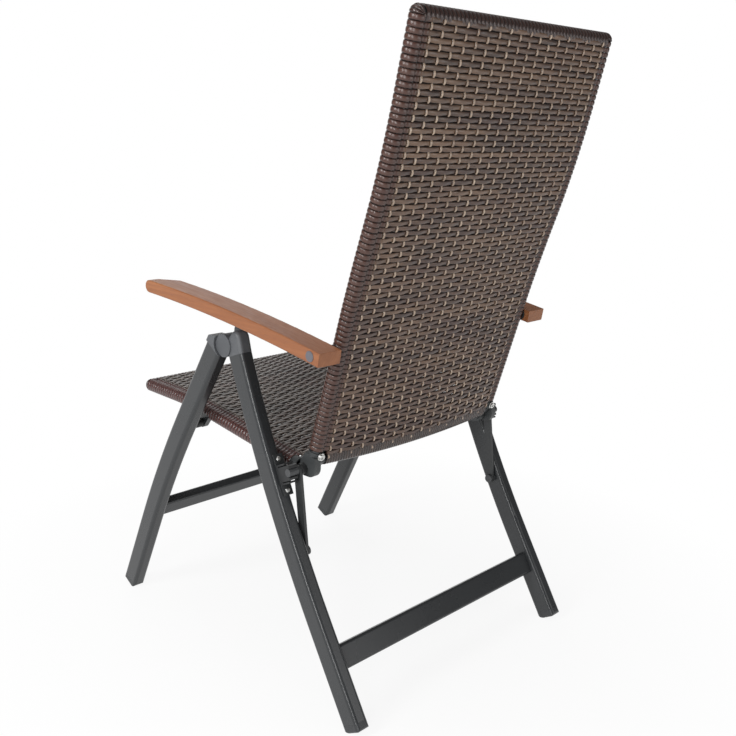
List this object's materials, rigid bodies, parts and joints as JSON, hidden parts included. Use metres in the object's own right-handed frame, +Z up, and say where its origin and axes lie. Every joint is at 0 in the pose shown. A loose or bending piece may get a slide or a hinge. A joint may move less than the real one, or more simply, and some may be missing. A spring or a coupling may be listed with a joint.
{
  "type": "reclining garden armchair",
  "caption": "High-backed folding garden armchair with woven seat and back, arched wooden armrests and bent metal legs; the back reclines and the frame folds.",
  "frame": {"origin": "middle of the chair's footprint box, on the floor", "axes": "+Z up, -Y towards the front of the seat, +X towards the sitter's left"},
  "size_m": [0.572, 0.7544, 1.0908],
  "materials": {
    "frame_paint": "satin powder coat",
    "fitting_paint": "satin powder coat",
    "head_plastic": "fine grain",
    "black_plastic": "fine grain",
    "corner_plastic": "fine grain",
    "dark_steel": "satin",
    "bright_steel": "satin",
    "cap_grey": "fine grain",
    "arm_wood": "oiled hardwood",
    "weave": "mottled brown strands"
  },
  "bodies": {
    "rear_frame": {"rear_leg_left": "frame_paint", "rear_leg_right": "frame_paint", "rear_crossbar": "frame_paint", "rear_foot_left": "black_plastic", "rear_foot_right": "black_plastic", "rear_leg_head_left": "head_plastic", "rear_leg_head_right": "head_plastic", "catch_post_left": "head_plastic", "catch_post_right": "head_plastic", "hinge_pins": "dark_steel", "cradle_plate_left": "fitting_paint", "cradle_plate_right": "fitting_paint", "cradle_block_left": "black_plastic", "cradle_block_right": "black_plastic", "cradle_rivets": "bright_steel", "link_pins": "dark_steel"},
    "front_frame": {"front_leg_left": "frame_paint", "front_leg_right": "frame_paint", "front_crossbar": "frame_paint", "front_foot_left": "black_plastic", "front_foot_right": "black_plastic", "front_leg_head_left": "head_plastic", "front_leg_head_right": "head_plastic", "seat_pivot_pins": "black_plastic"},
    "links": {"fold_link_left": "fitting_paint", "fold_link_right": "fitting_paint", "axle_bolts": "dark_steel"},
    "seat": {"seat_frame": "frame_paint", "seat_weave": "weave", "seat_corner_left": "corner_plastic", "seat_corner_right": "corner_plastic", "seat_lug_left": "frame_paint", "seat_lug_right": "frame_paint"},
    "back_bushes": {"axle_bush_left": "black_plastic", "axle_bush_right": "black_plastic"},
    "back": {"back_frame": "frame_paint", "back_weave": "weave", "back_corner_left": "corner_plastic", "back_corner_right": "corner_plastic", "corner_screws": "bright_steel"},
    "arm_bolts": {"arm_pivot_bolts": "cap_grey"},
    "arm_spacers": {"arm_spacer_left": "black_plastic", "arm_spacer_right": "black_plastic"},
    "left_arm": {"armrest_left": "arm_wood", "armrest_rack_left": "black_plastic", "rack_screws_left": "bright_steel"},
    "right_arm": {"armrest_right": "arm_wood", "armrest_rack_right": "black_plastic", "rack_screws_right": "bright_steel"}
  },
  "joints": [
    {"name": "leg_fold", "type": "hinge", "parent": "rear_frame", "child": "front_frame", "pos_m": [0, -0.00295, 0.581], "axis": [1, 0, 0], "range_deg": [0, 51.5]},
    {"name": "link_swing", "type": "hinge", "parent": "rear_frame", "child": "links", "pos_m": [0, 0.16859, 0.25789], "axis": [1, 0, 0], "range_deg": [-137.76, 0]},
    {"name": "seat_fold", "type": "hinge", "parent": "links", "child": "seat", "pos_m": [0, 0.15205, 0.396], "axis": [1, 0, 0], "range_deg": [0, 98.2]},
    {"name": "back_fold", "type": "hinge", "parent": "links", "child": "back_bushes", "pos_m": [0, 0.15205, 0.396], "axis": [1, 0, 0], "range_deg": [0, 164.76]},
    {"name": "back_recline", "type": "hinge", "parent": "back_bushes", "child": "back", "pos_m": [0, 0.15205, 0.396], "axis": [-1, 0, 0], "range_deg": [0, 42]},
    {"name": "arm_fold", "type": "hinge", "parent": "back", "child": "arm_bolts", "pos_m": [0, 0.22224, 0.60566], "axis": [1, 0, 0], "range_deg": [-89.2, 0]},
    {"name": "arm_level", "type": "hinge", "parent": "arm_bolts", "child": "arm_spacers", "pos_m": [0, 0.22224, 0.60566], "axis": [1, 0, 0], "range_deg": [0, 27.8]},
    {"name": "arm_lift_left", "type": "hinge", "parent": "arm_spacers", "child": "left_arm", "pos_m": [0, 0.22224, 0.60566], "axis": [-1, 0, 0], "range_deg": [0, 60]},
    {"name": "arm_lift_right", "type": "hinge", "parent": "arm_spacers", "child": "right_arm", "pos_m": [0, 0.22224, 0.60566], "axis": [-1, 0, 0], "range_deg": [0, 60]}
  ],
  "couplings": [
    {"joint": "link_swing", "follows": "leg_fold", "ratio": -2.6711},
    {"joint": "seat_fold", "follows": "leg_fold", "ratio": 1.903},
    {"joint": "back_fold", "follows": "leg_fold", "ratio": 3.1954},
    {"joint": "arm_fold", "follows": "leg_fold", "ratio": -1.7282},
    {"joint": "arm_level", "follows": "back_recline", "ratio": 0.6572}
  ]
}
